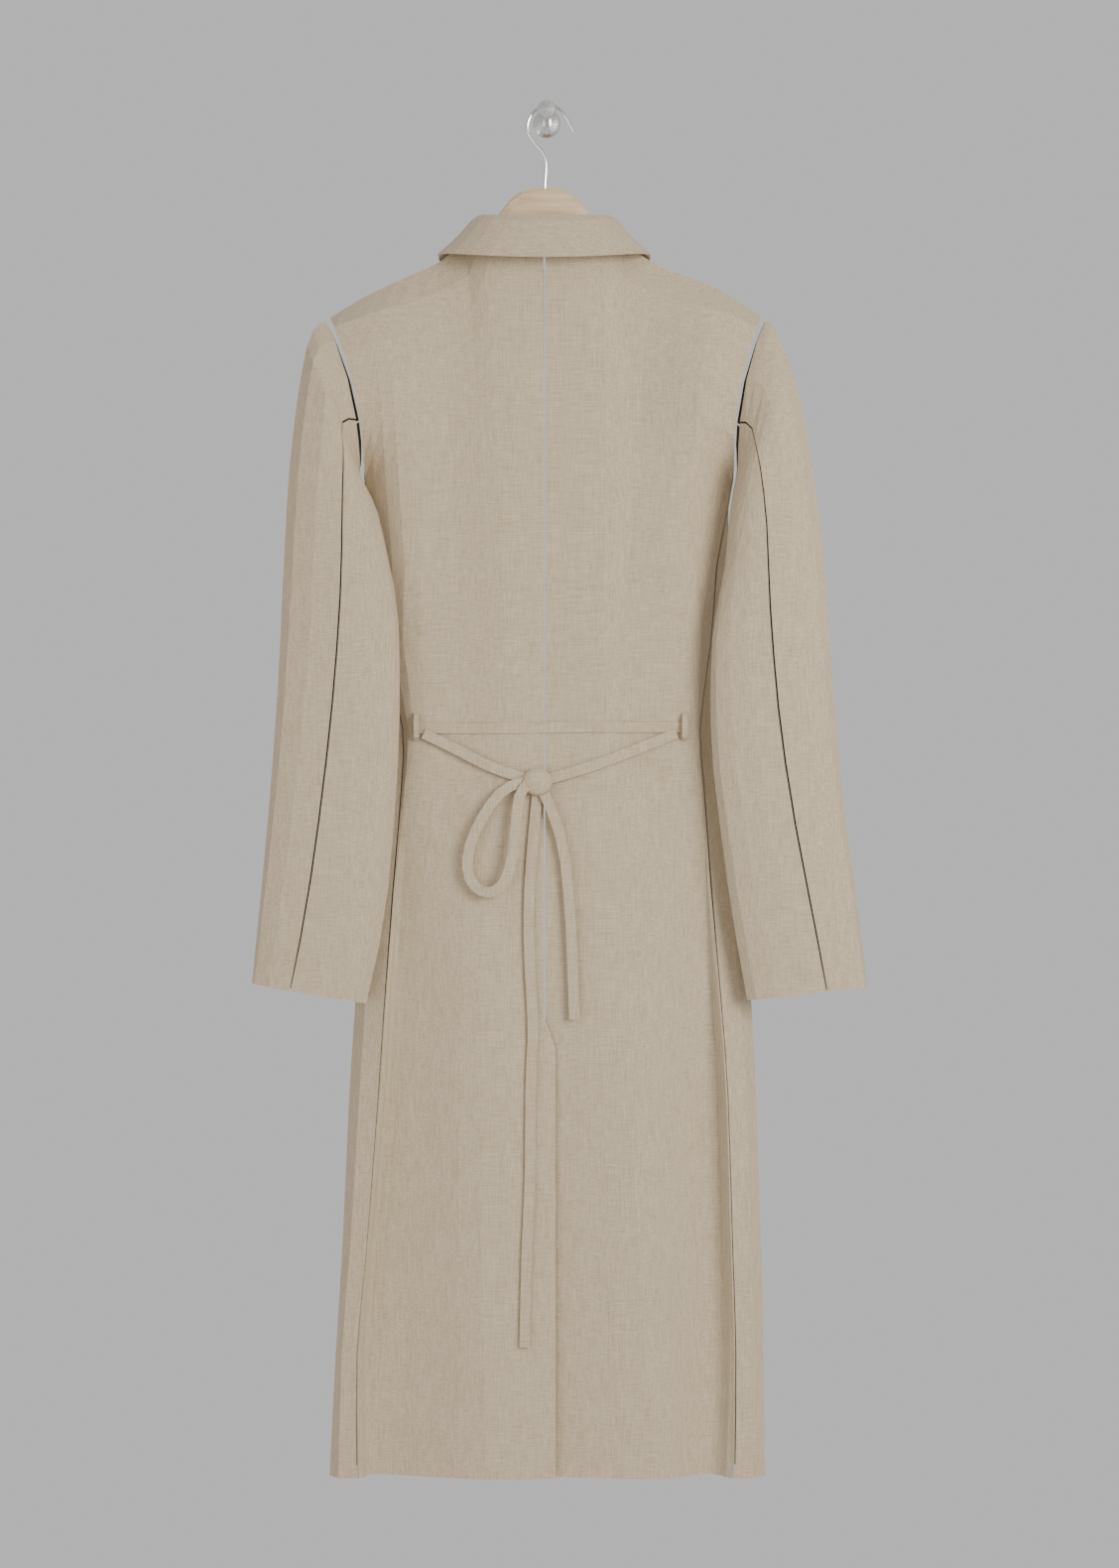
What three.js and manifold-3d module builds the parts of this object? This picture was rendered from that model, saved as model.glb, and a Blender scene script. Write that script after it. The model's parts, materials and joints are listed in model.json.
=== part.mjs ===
// A long tailored coat with a tie belt, hung from a wooden hanger on a wall peg.
// Millimetres, +Z up. The coat's front faces -Y, towards the wall at y = 0.
// The origin is the centre of the peg's back face, on the wall.
// Cloth pieces are thin walls through grids of points worked out from the tables below.
import * as THREE from "three";
import { mergeVertices } from "three/addons/utils/BufferGeometryUtils.js";
import Module from "manifold-3d";

const CLOTH = 1.6; // wall of one panel
const SEAM_GAP = 0.4; // space between two panels at a seam
const COAT_X = 2; // the coat's centre line beside the peg's axis
const HANGER_Y = 55; // plane of the hanger and its hook
const SHOULDER_Y = 60; // plane of the shoulder seams
const CHEST_Z = -445; // level where the upper patches meet the long body
const HEM_Z = -1328;
const ARMHOLE_WAIST = 9; // how far an armhole curves in towards the neck
const ARMHOLE_DEPTH = 34; // half of an armhole's width, front to back
const VENT_TOP = -880;
const VENT_LAP = 12; // how far the left back crosses the centre line over the right
const BELT_WIDTH = 10;
const BELT_CLOTH = 1.2;
const WIRE_RADIUS = 1.6;
const PEG_RADIUS = 4.5;
const KNOT = { x: 7, z: -655, rx: 15, ry: 7, rz: 13 };

// Half sections of the body, from the centre back (cb) round to the side.
// ridge, valley, fold, seam and side each have a place across and a depth.
const SECTION_COLUMNS = ["z", "cbY", "ridgeX", "ridgeY", "valleyX", "valleyY",
  "foldX", "foldY", "seamX", "seamY", "sideX", "sideY"];
const LEFT_SECTIONS = [
  [-445, 92, 40, 93, 84, 86, 136, 87, 166, 62, 176, 42],
  [-520, 88, 38, 90, 84, 83, 138, 80, 158, 56, 170, 38],
  [-602, 84, 36, 86, 84, 80, 127, 78, 138, 66, 168, 44],
  [-660, 84, 44, 87, 90, 80, 132, 76, 139, 71, 174, 50],
  [-756, 86, 58, 91, 105, 82, 139, 73, 147, 77, 180, 56],
  [-868, 88, 62, 94, 115, 80, 146, 72, 155, 83, 184, 62],
  [-950, 89, 60, 95, 122, 78, 151, 71, 160, 88, 189, 68],
  [-1110, 90, 60, 96, 130, 76, 165, 71, 172, 90, 196, 74],
  [-1207, 91, 58, 97, 136, 76, 171, 72, 181, 90, 202, 76],
  [-1328, 91, 56, 97, 138, 76, 169, 74, 181, 90, 208, 78],
];
const RIGHT_SECTIONS = [
  [-445, 92, 58, 93, 82, 87, 132, 90, 168, 62, 180, 42],
  [-520, 88, 56, 90, 82, 84, 143, 80, 162, 56, 176, 38],
  [-602, 84, 52, 86, 84, 81, 143, 78, 151, 67, 172, 44],
  [-660, 84, 56, 87, 94, 80, 148, 76, 155, 71, 182, 50],
  [-756, 86, 68, 88, 122, 79, 156, 73, 162, 77, 192, 56],
  [-868, 86, 76, 90, 134, 76, 164, 70, 171, 83, 201, 62],
  [-950, 83, 80, 92, 140, 74, 170, 70, 177, 88, 205, 68],
  [-1110, 83, 92, 94, 148, 73, 174, 71, 182, 90, 210, 74],
  [-1207, 83, 98, 94, 150, 73, 174, 72, 185, 90, 212, 76],
  [-1328, 83, 108, 94, 148, 74, 167, 74, 184, 90, 214, 78],
];
const BODY_LEVELS = [-445, -482, -520, -560, -602, -630, -660, -706, -756, -812, -850, -880,
  -912, -960, -1030, -1110, -1160, -1207, -1268, -1328];
const FRONT_Y = 14;
const FRONT_CENTRE_Y = 10;

// Shoulder line from the centre back neck to the sleeve head, per side.
const SHOULDER_COLUMNS = ["x", "z"];
const LEFT_SHOULDER = [[0, -127], [40, -126], [76, -130], [104, -149], [146, -168], [177, -183], [209, -203]];
const RIGHT_SHOULDER = [[0, -127], [40, -126], [76, -130], [106, -149], [151, -167], [181, -181], [211, -202]];
const UPPER_ROWS = 9;
const NECK = { x: 74, y: 30, drop: 22 }; // half width and depth of the neck, and how much lower its front is

// Sleeve rings: outer and inner point, centre depth and half thickness.
const RING_COLUMNS = ["outX", "outZ", "inX", "inZ", "y", "half"];
const LEFT_RINGS = [
  [211, -204, 177, -346, 60, 34],
  [219, -209, 179, -352, 68, 36],
  [229, -230, 176, -366, 80, 36],
  [236, -268, 165, -386, 86, 33],
  [241, -309, 158, -410, 93, 29],
  [246, -363, 150, -446, 98, 25],
  [250, -440, 142, -492, 101, 22],
  [254, -530, 140, -552, 102, 20],
  [259, -610, 141, -620, 101, 19],
  [266, -695, 146, -701, 100, 19],
  [274, -775, 155, -788, 99, 18],
  [281.7, -849, 172, -868, 98, 17],
];
const RIGHT_RINGS = [
  [213, -203, 186, -350, 60, 34],
  [222, -211, 186, -357, 66, 36],
  [235, -242, 184, -372, 76, 36],
  [244, -272, 181, -390, 86, 33],
  [253, -316, 178, -415, 93, 29],
  [261, -374, 174, -454, 98, 25],
  [270, -450, 164, -505, 101, 22],
  [275, -530, 161, -560, 102, 20],
  [281, -610, 162, -625, 101, 19],
  [291, -700, 171, -705, 100, 19],
  [302, -775, 182, -785, 99, 18],
  [311, -852, 196, -865, 98, 17],
];
const SLEEVE_STEPS = 17; // rings along a sleeve
const SLEEVE_CLEARANCE = 3.2; // how far a sleeve's first ring stands off the armhole
const BACK_SEAM_TOP = 115; // angle of the sleeve's back seam at the armhole, degrees
const BACK_SEAM_CUFF = 72;
const FRONT_SEAM = -110;

// Belt runs on the back: place across, height and lift off the cloth.
const BELT_RUNS = {
  belt_back: [[126, -603, 2], [84, -603, 2.4], [30, -603, 2], [-40, -602, 2], [-90, -602, 2.4], [-134, -602, 2]],
  belt_diagonal_left: [[117, -608, 5], [90, -621, 5.6], [50, -641, 5.6], [8, -655, 6]],
  belt_diagonal_right: [[-128, -608, 5], [-90, -623, 5.6], [-45, -640, 5.6], [6, -655, 6]],
  belt_bow: [[8, -652, 9], [38, -662, 10], [60, -690, 11], [73, -722, 10], [72, -748, 9], [58, -761, 12],
    [42, -756, 16], [31, -730, 17], [27, -695, 16], [22, -664, 13], [9, -653, 12]],
  belt_long_tail: [[6, -658, 4], [11, -712, 5], [15, -775, 5], [14, -835, 5], [11, -893, 5],
    [13, -945, 5], [14, -1040, 5], [17, -1110, 5], [19, -1200, 5]],
  belt_short_tail: [[4, -658, 9], [-6, -680, 9], [-18, -718, 8], [-25, -785, 8], [-29, -884, 8]],
};
const BELT_STEPS = { belt_back: 16, belt_diagonal_left: 9, belt_diagonal_right: 9, belt_bow: 26,
  belt_long_tail: 20, belt_short_tail: 10 };
const LOOP_STEPS = 6;
const BELT_LOOPS = {
  belt_loop_left: [[124, -588, 1.4], [124, -592, 6], [124, -600, 8.4], [124, -610, 8], [124, -615, 1.4]],
  belt_loop_right: [[-136, -588, 1.4], [-136, -592, 6], [-136, -600, 8.4], [-136, -610, 8], [-136, -615, 1.4]],
};

const HANGER_COLUMNS = ["x", "top", "deep", "wide"];
const HANGER = [[0, -74, 40, 14], [26, -80, 40, 14], [47, -104, 26, 14], [61, -138, 22, 14],
  [104, -172, 18, 14], [150, -194, 14, 14], [178, -210, 12, 14]];
const HOOK = [[0, -78], [0, -43], [9, -31], [16, -20], [16, -9], [9, 2], [0, 6.9], [-9, 6.4], [-17, 1],
  [-22, -7], [-29, -20]];

const wasm = await Module();
wasm.setup();

const cloth = { color: 0xc0a888, roughness: 0.9, metalness: 0 };
const wood = { color: 0xdcbc92, roughness: 0.5, metalness: 0 };
const steel = { color: 0xc9c6c0, roughness: 0.25, metalness: 0.9 };

function records(columns, rows) {
  return rows.map((row) => Object.fromEntries(columns.map((name, i) => [name, row[i]])));
}

// Smooth curve through (knots, values): a cubic whose slope at a knot is that of its neighbours.
function smooth(knots, values, at) {
  const last = knots.length - 1;
  const rising = knots[last] > knots[0];
  let i = 0;
  while (i < last - 1 && (rising ? at > knots[i + 1] : at < knots[i + 1])) i += 1;
  const slope = (j) => {
    const a = Math.max(j - 1, 0);
    const b = Math.min(j + 1, last);
    return (values[b] - values[a]) / (knots[b] - knots[a]);
  };
  const span = knots[i + 1] - knots[i];
  const s = Math.min(Math.max((at - knots[i]) / span, 0), 1);
  const rise = values[i + 1] - values[i];
  const bend = (slope(i) * span - rise) * (1 - s) - (slope(i + 1) * span - rise) * s;
  return values[i] + rise * s + s * (1 - s) * bend;
}

function column(table, key, name, at) {
  return smooth(table.map((row) => row[key]), table.map((row) => row[name]), at);
}

const SIDES = {
  left: { sign: 1, sections: records(SECTION_COLUMNS, LEFT_SECTIONS),
    shoulder: records(SHOULDER_COLUMNS, LEFT_SHOULDER), rings: records(RING_COLUMNS, LEFT_RINGS) },
  right: { sign: -1, sections: records(SECTION_COLUMNS, RIGHT_SECTIONS),
    shoulder: records(SHOULDER_COLUMNS, RIGHT_SHOULDER), rings: records(RING_COLUMNS, RIGHT_RINGS) },
};

// Point of the half section at level z. Knots: 0 centre back, 1 ridge, 2 valley, 3 fold,
// 4 side seam, 5 side, 6 front, 7 centre front.
function sectionPoint(side, z, t) {
  const get = (name) => column(side.sections, "z", name, z);
  const across = [0, get("ridgeX"), get("valleyX"), get("foldX"), get("seamX"), get("sideX"),
    0.8 * get("sideX"), 0];
  const depth = [get("cbY"), get("ridgeY"), get("valleyY"), get("foldY"), get("seamY"), get("sideY"),
    FRONT_Y, FRONT_CENTRE_Y];
  const knots = across.map((_, i) => i);
  return new THREE.Vector3(side.sign * smooth(knots, across, t), smooth(knots, depth, t), z);
}

// Armhole oval: angle 0 is the shoulder point, 180 the underarm, 0..180 the back half.
function armhole(side, degrees) {
  const ring = side.rings[0];
  const angle = THREE.MathUtils.degToRad(degrees);
  const x = (ring.outX + ring.inX) / 2 + (ring.outX - ring.inX) / 2 * Math.cos(angle);
  const z = (ring.outZ + ring.inZ) / 2 + (ring.outZ - ring.inZ) / 2 * Math.cos(angle);
  const y = ring.y + ARMHOLE_DEPTH * Math.sin(angle);
  const inward = ARMHOLE_WAIST * Math.sin(angle) ** 2;
  return new THREE.Vector3(side.sign * (x - inward), y, z);
}

// Upper patch: from the shoulder line (v = 0) to the chest section (v = 1), with the armhole
// and the side line as its outer edge (across = 1) and the centre line as its inner edge.
function upperPoint(side, back, across, v) {
  const ARM_END = 0.62;
  const knots = side.shoulder.map((_, i) => i / (side.shoulder.length - 1));
  const chestT = (a) => (back ? 4 * a : 7 - 3 * a);
  const shoulderAt = (a) => {
    const x = smooth(knots, side.shoulder.map((p) => p.x), a);
    const neck = Math.sqrt(Math.max(1 - (x / NECK.x) ** 2, 0));
    return new THREE.Vector3(side.sign * x,
      SHOULDER_Y + (back ? 1 : -1) * (SEAM_GAP / 2 + CLOTH / 2 + NECK.y * neck),
      smooth(knots, side.shoulder.map((p) => p.z), a) - (back ? 0 : NECK.drop * neck));
  };
  const round = Math.sqrt(1 - (1 - v) ** 3);
  const base = (a) => {
    const top = shoulderAt(a);
    const low = sectionPoint(side, CHEST_Z, chestT(a));
    return new THREE.Vector3(top.x + (low.x - top.x) * v, top.y + (low.y - top.y) * round,
      top.z + (low.z - top.z) * v);
  };
  const edge = v < ARM_END
    ? armhole(side, (back ? 1 : -1) * 180 * v / ARM_END)
    : armhole(side, 180).lerp(sectionPoint(side, CHEST_Z, 4), (v - ARM_END) / (1 - ARM_END));
  if (v < ARM_END) edge.y += (back ? 1 : -1) * (SEAM_GAP / 2 + CLOTH / 2) * (1 - v / ARM_END);
  const point = base(across);
  return point.addScaledVector(edge.sub(base(1)), across ** 3);
}

function bodyPoint(side, back, across, level) {
  if (level < 1) return upperPoint(side, back, across, level);
  const z = BODY_LEVELS[Math.round(level - 1)];
  return sectionPoint(side, z, back ? 4 * across : 7 - 3 * across);
}

// Closed wall of one thickness round a grid of points. A tube is closed across its columns.
function wall(grid, thickness) {
  const rows = grid.length;
  const columns = grid[0].length;
  const index = (layer, r, c) => layer * rows * columns + r * columns + c;
  const vertices = [];
  for (const layer of [0, 1]) {
    for (let r = 0; r < rows; r += 1) {
      for (let c = 0; c < columns; c += 1) {
        const down = grid[Math.min(r + 1, rows - 1)][c].clone().sub(grid[Math.max(r - 1, 0)][c]);
        const over = grid[r][Math.min(c + 1, columns - 1)].clone().sub(grid[r][Math.max(c - 1, 0)]);
        const normal = over.cross(down).normalize();
        const point = grid[r][c].clone().addScaledVector(normal, (layer ? -0.5 : 0.5) * thickness);
        vertices.push(point.x, point.y, point.z);
      }
    }
  }
  const faces = [];
  const quad = (a, b, c, d) => faces.push(a, b, c, a, c, d);
  for (let r = 0; r < rows - 1; r += 1) {
    for (let c = 0; c < columns - 1; c += 1) {
      quad(index(0, r, c), index(0, r, c + 1), index(0, r + 1, c + 1), index(0, r + 1, c));
      quad(index(1, r, c), index(1, r + 1, c), index(1, r + 1, c + 1), index(1, r, c + 1));
    }
  }
  for (let c = 0; c < columns - 1; c += 1) {
    quad(index(0, 0, c + 1), index(0, 0, c), index(1, 0, c), index(1, 0, c + 1));
    quad(index(0, rows - 1, c), index(0, rows - 1, c + 1), index(1, rows - 1, c + 1), index(1, rows - 1, c));
  }
  for (let r = 0; r < rows - 1; r += 1) {
    quad(index(0, r, 0), index(0, r + 1, 0), index(1, r + 1, 0), index(1, r, 0));
    quad(index(0, r + 1, columns - 1), index(0, r, columns - 1), index(1, r, columns - 1),
      index(1, r + 1, columns - 1));
  }
  return facingOut(vertices, faces);
}

// Geometry from points and faces, turned inside out where its volume is negative.
function facingOut(vertices, faces) {
  let volume = 0;
  const point = (i) => new THREE.Vector3(vertices[3 * i], vertices[3 * i + 1], vertices[3 * i + 2]);
  for (let f = 0; f < faces.length; f += 3) {
    volume += point(faces[f]).dot(point(faces[f + 1]).cross(point(faces[f + 2])));
  }
  if (volume < 0) {
    for (let f = 0; f < faces.length; f += 3) [faces[f], faces[f + 1]] = [faces[f + 1], faces[f]];
  }
  const geometry = new THREE.BufferGeometry();
  geometry.setAttribute("position", new THREE.BufferAttribute(new Float32Array(vertices), 3));
  geometry.setIndex(faces);
  return geometry;
}

function grid(rows, columns, point) {
  return Array.from({ length: rows }, (_, r) => Array.from({ length: columns },
    (_unused, c) => point(r / (rows - 1), c / (columns - 1), r)));
}

const coat = new THREE.Group();
coat.position.x = COAT_X;

function add(name, geometry, finish, group = coat) {
  const mesh = new THREE.Mesh(geometry, new THREE.MeshStandardMaterial(finish));
  mesh.name = name;
  group.add(mesh);
}

// Body panels. The gap at the centre and side seams is half of SEAM_GAP on each side.
const LEVEL_COUNT = UPPER_ROWS + BODY_LEVELS.length;
function levelOf(row) {
  return row < UPPER_ROWS ? row / UPPER_ROWS : 1 + row - UPPER_ROWS;
}

function bodyPanel(side, back, columns) {
  return grid(LEVEL_COUNT, columns, (_r, c, row) => {
    const level = levelOf(row);
    const point = bodyPoint(side, back, 0.004 + 0.985 * c, level);
    const centred = Math.max(1 - Math.abs(point.x) / 30, 0);
    if (back && side.sign > 0 && point.z < VENT_TOP - 20) point.x -= VENT_LAP * centred;
    if (!back) point.y -= side.sign > 0 ? 0 : -4 * centred;
    return point;
  });
}

for (const [name, side] of Object.entries(SIDES)) {
  add(`back_${name}`, wall(bodyPanel(side, true, 13), CLOTH), cloth);
  add(`front_${name}`, wall(bodyPanel(side, false, 7), CLOTH), cloth);
}

// Sleeves: rings from the armhole to the cuff, cut into a top and an under sleeve.
function sleevePoint(side, s, degrees) {
  const rings = side.rings;
  const knots = rings.map((_, i) => i / (rings.length - 1));
  const get = (name) => smooth(knots, rings.map((ring) => ring[name]), s);
  const angle = THREE.MathUtils.degToRad(degrees);
  const reach = Math.cos(angle) / 2;
  const x = (get("outX") + get("inX")) / 2 + (get("outX") - get("inX")) * reach;
  const z = (get("outZ") + get("inZ")) / 2 + (get("outZ") - get("inZ")) * reach;
  const inward = ARMHOLE_WAIST * Math.sin(angle) ** 2 * Math.max(1 - s * 8, 0);
  const clear = SLEEVE_CLEARANCE * Math.max(1 - s * 5, 0);
  return new THREE.Vector3(side.sign * (x - inward + clear), get("y") + get("half") * Math.sin(angle), z);
}

function sleevePanel(side, top, columns) {
  const gap = 0.8;
  return grid(SLEEVE_STEPS, columns, (s, c) => {
    const seam = BACK_SEAM_TOP + (BACK_SEAM_CUFF - BACK_SEAM_TOP) * s;
    const from = top ? FRONT_SEAM + gap : seam + gap;
    const to = top ? seam - gap : 360 + FRONT_SEAM - gap;
    return sleevePoint(side, s, from + (to - from) * c);
  });
}

for (const [name, side] of Object.entries(SIDES)) {
  add(`top_sleeve_${name}`, wall(sleevePanel(side, true, 8), CLOTH), cloth);
  add(`under_sleeve_${name}`, wall(sleevePanel(side, false, 8), CLOTH), cloth);
}

// Collar: a folded strip round the neck, from the stand's foot over the roll to the fall's edge.
const COLLAR_SWEEP = 125; // degrees each way from the centre back
const COLLAR_ROWS = ["stand", "rise", "roll", "turn", "fall", "edge"];
const COLLAR_SECTION = {
  stand: { rx: 66, ry: 33, z: -121 },
  rise: { rx: 64, ry: 32, z: -112 },
  roll: { rx: 63, ry: 34, z: -104 },
  turn: { rx: 70, ry: 42, z: -107 },
  fall: { rx: 86, ry: 50, z: -125 },
  edge: { rx: 104, ry: 56, z: -141 },
};
function collarPoint(c, r) {
  const angle = THREE.MathUtils.degToRad(90 + COLLAR_SWEEP * (1 - 2 * c));
  const row = COLLAR_ROWS.map((name) => COLLAR_SECTION[name]);
  const knots = row.map((_, i) => i / (row.length - 1));
  const get = (name) => smooth(knots, row.map((part) => part[name]), r);
  const round = Math.abs(Math.cos(angle)) ** 0.9 * Math.sign(Math.cos(angle));
  const back = Math.max(Math.sin(angle), 0);
  const front = Math.max(-Math.sin(angle), 0);
  const z = get("z") - 11 * back * back * r - 26 * front;
  return new THREE.Vector3(get("rx") * round, SHOULDER_Y + get("ry") * Math.sin(angle), z);
}
add("collar", wall(grid(9, 19, (r, c) => collarPoint(c, r)), CLOTH), cloth);

// Lapels and pocket welts lie on the fronts: the front's own points, moved out.
function onFront(side, across, level, lift) {
  const point = bodyPoint(side, false, across, level);
  point.y -= (side.sign > 0 ? 0 : -4 * Math.max(1 - Math.abs(point.x) / 30, 0)) + lift;
  return point;
}
for (const [name, side] of Object.entries(SIDES)) {
  const lapel = grid(8, 5, (r, c) => {
    const width = 0.34 * (1 - r) + 0.03;
    return onFront(side, 0.12 + width * c, 0.34 + 0.62 * r, 2.6);
  });
  add(`lapel_${name}`, wall(lapel, CLOTH), cloth);
}

// Belt pieces follow the back of the coat. The knot's room is cut out of each of them.
function backDepth(x, z) {
  const side = x > 0 ? SIDES.left : SIDES.right;
  let low = 0;
  let high = 3.2;
  for (let i = 0; i < 24; i += 1) {
    const middle = (low + high) / 2;
    if (Math.abs(sectionPoint(side, z, middle).x) < Math.abs(x)) low = middle;
    else high = middle;
  }
  return sectionPoint(side, z, low).y;
}

function ribbon(route, steps, width) {
  const curve = new THREE.CatmullRomCurve3(route.map(([x, z, lift]) => new THREE.Vector3(x, lift, z)));
  return grid(steps, 3, (s, c) => {
    const point = curve.getPoint(s);
    const tangent = curve.getTangent(s);
    const across = new THREE.Vector2(-tangent.z, tangent.x).normalize().multiplyScalar((c - 0.5) * width);
    const centreDepth = backDepth(point.x, point.z);
    return new THREE.Vector3(point.x + across.x, centreDepth + point.y, point.z + across.y);
  });
}

function solid(geometry) {
  const bare = geometry.clone();
  bare.deleteAttribute("normal");
  bare.deleteAttribute("uv");
  const merged = mergeVertices(bare, 1e-3);
  return new wasm.Manifold(new wasm.Mesh({ numProp: 3,
    vertProperties: new Float32Array(merged.attributes.position.array),
    triVerts: new Uint32Array(merged.index.array) }));
}

function geometryOf(manifold) {
  const mesh = manifold.getMesh();
  const geometry = new THREE.BufferGeometry();
  geometry.setAttribute("position", new THREE.BufferAttribute(new Float32Array(mesh.vertProperties), 3));
  geometry.setIndex(new THREE.BufferAttribute(new Uint32Array(mesh.triVerts), 1));
  return geometry;
}

function knotShape(grow) {
  const ball = new THREE.SphereGeometry(1, 16, 10);
  ball.scale(KNOT.rx + grow, KNOT.ry + grow, KNOT.rz + grow);
  ball.translate(KNOT.x, backDepth(KNOT.x, KNOT.z) + KNOT.ry + 2.4, KNOT.z);
  return ball;
}
const knotRoom = solid(knotShape(0.4));
for (const [name, route] of Object.entries(BELT_RUNS)) {
  const strip = wall(ribbon(route, BELT_STEPS[name], BELT_WIDTH), BELT_CLOTH);
  add(name, geometryOf(solid(strip).subtract(knotRoom)), cloth);
}
add("belt_knot", geometryOf(solid(knotShape(0))), cloth);
for (const [name, route] of Object.entries(BELT_LOOPS)) {
  add(name, wall(ribbon(route, LOOP_STEPS, 5), 1), cloth);
}

// Hanger: a bent wooden bar of rounded sections, flat where the hook stands.
const hangerRows = records(HANGER_COLUMNS, HANGER);
function hangerShape() {
  const steps = 16;
  const round = 10;
  const vertices = [];
  const faces = [];
  for (let i = -steps; i <= steps; i += 1) {
    const x = hangerRows[hangerRows.length - 1].x * i / steps;
    const get = (name) => column(hangerRows, "x", name, Math.abs(x));
    for (let k = 0; k < round; k += 1) {
      const angle = 2 * Math.PI * (k + 0.5) / round;
      vertices.push(x, HANGER_Y + get("wide") / 2 * Math.cos(angle),
        get("top") - get("deep") / 2 * (1 - Math.sin(angle) / Math.cos(Math.PI / round)));
    }
  }
  const rings = 2 * steps + 1;
  for (let i = 0; i < rings - 1; i += 1) {
    for (let k = 0; k < round; k += 1) {
      const a = i * round + k;
      const b = i * round + (k + 1) % round;
      faces.push(a, b, b + round, a, b + round, a + round);
    }
  }
  for (let k = 1; k < round - 1; k += 1) {
    faces.push(0, k + 1, k);
    const end = (rings - 1) * round;
    faces.push(end, end + k, end + k + 1);
  }
  return facingOut(vertices, faces);
}

// Hook: one bent wire from the wood up and over the peg.
const wireCurve = new THREE.CatmullRomCurve3(HOOK.map(([x, z]) => new THREE.Vector3(x, HANGER_Y, z)));
const wireSection = new THREE.Shape();
wireSection.absarc(0, 0, WIRE_RADIUS, 0, 2 * Math.PI);
const wire = new THREE.ExtrudeGeometry(wireSection,
  { steps: 44, curveSegments: 4, bevelEnabled: false, extrudePath: wireCurve });
const wireSolid = solid(wire);
add("hanger_wood", geometryOf(solid(hangerShape()).subtract(solid(new THREE.CylinderGeometry(2.2, 2.2, 30, 12)
  .rotateX(Math.PI / 2).translate(0, HANGER_Y, -78)))), wood);
add("hanger_hook", geometryOf(wireSolid), steel);

// Peg: a turned knob on a round plate against the wall.
const PEG_PROFILE = [[0, 0], [14, 0], [14, 3], [11, 5], [PEG_RADIUS, 6], [PEG_RADIUS, 61], [8, 63],
  [9.5, 67], [8, 71], [0, 72]];
const peg = new THREE.LatheGeometry(PEG_PROFILE.map(([r, y]) => new THREE.Vector2(r, y)), 20);
const assembly = new THREE.Group();
assembly.add(coat);
add("wall_peg", geometryOf(solid(peg)), steel, assembly);

export default assembly;
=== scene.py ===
# %% [markdown]
# # A long belted coat on a hanger
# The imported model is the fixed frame: it holds each panel, the belt, the hanger and the peg at
# their real size. This file gives those pieces their surfaces, a light and a camera. It adds
# no mesh of its own, so the cloth keeps the flat facets of the frame.

# %% Load the frame
import bpy
import json
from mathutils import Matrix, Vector


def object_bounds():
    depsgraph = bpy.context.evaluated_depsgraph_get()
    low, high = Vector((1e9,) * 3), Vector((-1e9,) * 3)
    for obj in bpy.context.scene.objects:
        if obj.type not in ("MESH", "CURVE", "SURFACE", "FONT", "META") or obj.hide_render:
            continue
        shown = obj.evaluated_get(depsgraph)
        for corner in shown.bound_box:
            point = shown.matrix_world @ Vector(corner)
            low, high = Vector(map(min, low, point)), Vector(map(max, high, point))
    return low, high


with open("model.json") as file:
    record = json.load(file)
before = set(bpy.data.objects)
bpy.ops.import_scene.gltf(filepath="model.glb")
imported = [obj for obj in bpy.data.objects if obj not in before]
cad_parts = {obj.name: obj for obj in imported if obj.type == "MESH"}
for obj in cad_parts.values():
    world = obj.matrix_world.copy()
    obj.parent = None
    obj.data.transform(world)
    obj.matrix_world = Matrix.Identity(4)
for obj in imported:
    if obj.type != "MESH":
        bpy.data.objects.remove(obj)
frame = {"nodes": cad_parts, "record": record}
low, high = (list(corner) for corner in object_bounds())
print("bounds of the frame in metres", low, high)

# %% [markdown]
# ## Helpers for surfaces
# A finish could be painted on an image, but an image has to be unwrapped onto each panel and
# blurs when the camera comes close. Noise worked out from object coordinates needs neither.
# A noise stretched along one direction gives threads or grain, two tones colour it, and a
# bump lets the light catch it.

# %% Surface helpers
def new_material(name):
    """A material with its node tree, its shader and its object coordinates."""
    material = bpy.data.materials.new(name)
    material.use_nodes = True
    tree = material.node_tree
    shader = tree.nodes["Principled BSDF"]
    coords = tree.nodes.new("ShaderNodeTexCoord").outputs["Object"]
    return material, tree, shader, coords


def noise(tree, coords, stretch, scale, detail):
    """Noise at a scale per metre. A stretch factor under 1 draws it out along that axis."""
    mapping = tree.nodes.new("ShaderNodeMapping")
    mapping.inputs["Scale"].default_value = stretch
    tree.links.new(coords, mapping.inputs["Vector"])
    node = tree.nodes.new("ShaderNodeTexNoise")
    node.inputs["Scale"].default_value = scale
    node.inputs["Detail"].default_value = detail
    tree.links.new(mapping.outputs["Vector"], node.inputs["Vector"])
    return node.outputs["Fac"]


DARK_UP_TO = 0.35
LIGHT_FROM = 0.65


def two_tone(tree, factor, dark, light):
    """A dark colour below DARK_UP_TO, a light one above LIGHT_FROM, and a ramp between."""
    ramp = tree.nodes.new("ShaderNodeValToRGB")
    stops = ((DARK_UP_TO, dark), (LIGHT_FROM, light))
    for element, (position, colour) in zip(ramp.color_ramp.elements, stops):
        element.position = position
        element.color = (*colour, 1)
    tree.links.new(factor, ramp.inputs["Fac"])
    return ramp.outputs["Color"]


def add_bump(tree, shader, height, distance):
    """Tilts the shader's normal as a relief of the given distance in metres would."""
    bump = tree.nodes.new("ShaderNodeBump")
    bump.inputs["Distance"].default_value = distance
    tree.links.new(height, bump.inputs["Height"])
    tree.links.new(bump.outputs["Normal"], shader.inputs["Normal"])


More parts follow.
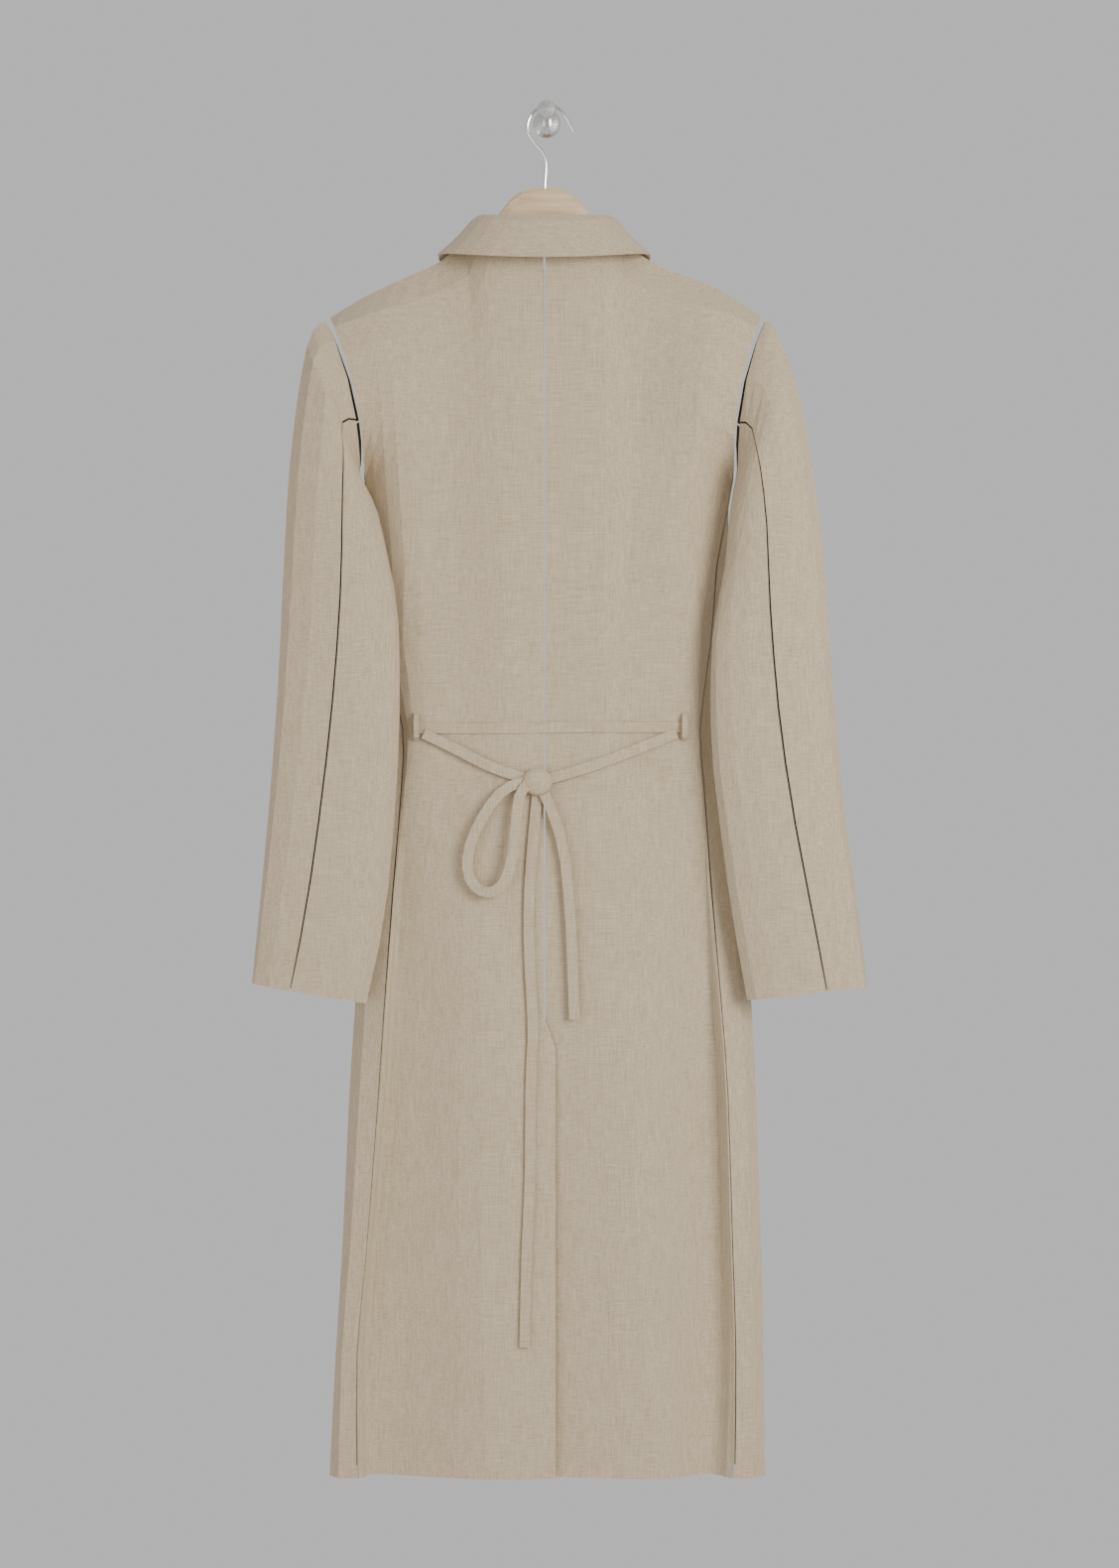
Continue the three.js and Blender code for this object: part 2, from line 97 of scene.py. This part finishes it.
# %% [markdown]
# ## Cloth
# The coat is cut from an undyed cloth that looks like linen. Its yarns are uneven in thickness.
# One noise drawn out along the height stands for the warp and one drawn out across the coat
# for the weft. Their mean drives both the colour and the relief, so the two always agree.

# %% Cloth
YARNS_PER_METRE = 900
YARN_STRETCH = 0.06
YARN_RELIEF = 0.0004
LINEN_DARK = (0.44, 0.34, 0.21)
LINEN_LIGHT = (0.60, 0.49, 0.34)


def mean_of(tree, first, second):
    """Half of the sum of two values."""
    total = tree.nodes.new("ShaderNodeMath")
    total.operation = "ADD"
    tree.links.new(first, total.inputs[0])
    tree.links.new(second, total.inputs[1])
    half = tree.nodes.new("ShaderNodeMath")
    half.operation = "MULTIPLY"
    half.inputs[1].default_value = 0.5
    tree.links.new(total.outputs[0], half.inputs[0])
    return half.outputs[0]


def linen():
    """Warp and weft noise averaged, on a matte surface with a slight sheen."""
    material, tree, shader, coords = new_material("linen")
    warp = noise(tree, coords, (1, 1, YARN_STRETCH), YARNS_PER_METRE, 2)
    weft = noise(tree, coords, (YARN_STRETCH, 1, 1), YARNS_PER_METRE, 2)
    weave = mean_of(tree, warp, weft)
    tree.links.new(two_tone(tree, weave, LINEN_DARK, LINEN_LIGHT), shader.inputs["Base Color"])
    shader.inputs["Roughness"].default_value = 0.88
    shader.inputs["Sheen Weight"].default_value = 0.15
    add_bump(tree, shader, weave, YARN_RELIEF)
    return material


cloth = linen()
print("cloth", cloth.name, "with", len(cloth.node_tree.nodes), "nodes")

# %% [markdown]
# ## Wood and metal
# The hanger is pale wood under a satin varnish. Its grain runs along the bar, so the noise is
# drawn out along X. The hook and peg are bright metal, told from grey paint by the metallic
# socket and a low roughness, with a fine mottle so that the tone isn't dead even.

# %% Wood and metal
GRAIN_STRETCH = 0.1
WOOD_DARK = (0.60, 0.42, 0.24)
WOOD_LIGHT = (0.74, 0.56, 0.36)
METAL_DARK = (0.66, 0.65, 0.62)
METAL_LIGHT = (0.80, 0.79, 0.77)


def pale_wood():
    """Grain noise along X between two pale tones."""
    material, tree, shader, coords = new_material("pale_wood")
    grain = noise(tree, coords, (GRAIN_STRETCH, 1, 1), 220, 4)
    tree.links.new(two_tone(tree, grain, WOOD_DARK, WOOD_LIGHT), shader.inputs["Base Color"])
    shader.inputs["Roughness"].default_value = 0.4
    return material


def bright_metal():
    """Even noise between two close greys, on a metallic surface."""
    material, tree, shader, coords = new_material("bright_metal")
    mottle = noise(tree, coords, (1, 1, 1), 300, 3)
    tree.links.new(two_tone(tree, mottle, METAL_DARK, METAL_LIGHT), shader.inputs["Base Color"])
    shader.inputs["Metallic"].default_value = 1.0
    shader.inputs["Roughness"].default_value = 0.22
    return material


finishes = {"cloth": cloth, "wood": pale_wood(), "steel": bright_metal()}
print("finishes", sorted(finishes))

# %% [markdown]
# ## Dressing the pieces
# The record names a material slot for each piece, so a loop over it dresses the whole coat and
# a piece added to the frame later gets its finish with no change here.

# %% Dress the pieces
for part in frame["record"]["subparts"]:
    surface = frame["nodes"][part["node"]].data.materials
    surface.clear()
    surface.append(finishes[part["material_slot"]])

# %% [markdown]
# ## Camera
# The coat hangs with its back to the viewer, so the camera stands out along +Y, level with the
# middle of the coat. A long lens keeps the shoulders and the hem at one scale. The distance
# follows from the height to be framed: height times lens length over sensor height.

# %% Camera
middle = Vector([(a + b) / 2 for a, b in zip(low, high)])
FRAMED_HEIGHT = 1.53


def aimed(item, place, target):
    """Links an object at a place, with its -Z axis turned to a target."""
    item.location = place
    item.rotation_euler = (Vector(target) - Vector(place)).to_track_quat("-Z", "Y").to_euler()
    bpy.context.scene.collection.objects.link(item)


camera = bpy.data.objects.new("camera", bpy.data.cameras.new("camera"))
camera.data.lens = 70
camera.data.sensor_fit = "VERTICAL"
camera.data.sensor_height = 36
distance = FRAMED_HEIGHT * camera.data.lens / camera.data.sensor_height
aimed(camera, middle + Vector((0, distance, 0)), middle)
bpy.context.scene.camera = camera
print("camera distance in metres", round(distance, 3))

# %% [markdown]
# ## Light
# A soft key from the viewer's right and a wider, weaker fill from the left let the folds shade
# from one side. A pale world colour stands in for the light that a bright room throws back.

# %% Light
LAMPS = {
    "key": {"place": (-1.6, 2.2, 0.6), "size": 1.2, "watts": 60},
    "fill": {"place": (1.8, 2.4, -0.4), "size": 2.5, "watts": 22},
}
for name, setting in LAMPS.items():
    lamp = bpy.data.lights.new(name, "AREA")
    lamp.size = setting["size"]
    lamp.energy = setting["watts"]
    aimed(bpy.data.objects.new(name, lamp), middle + Vector(setting["place"]), middle)

world = bpy.data.worlds.new("room")
world.use_nodes = True
background = world.node_tree.nodes["Background"]
background.inputs["Color"].default_value = (0.86, 0.86, 0.86, 1)
background.inputs["Strength"].default_value = 0.7
bpy.context.scene.world = world
print("lamps", sorted(LAMPS))
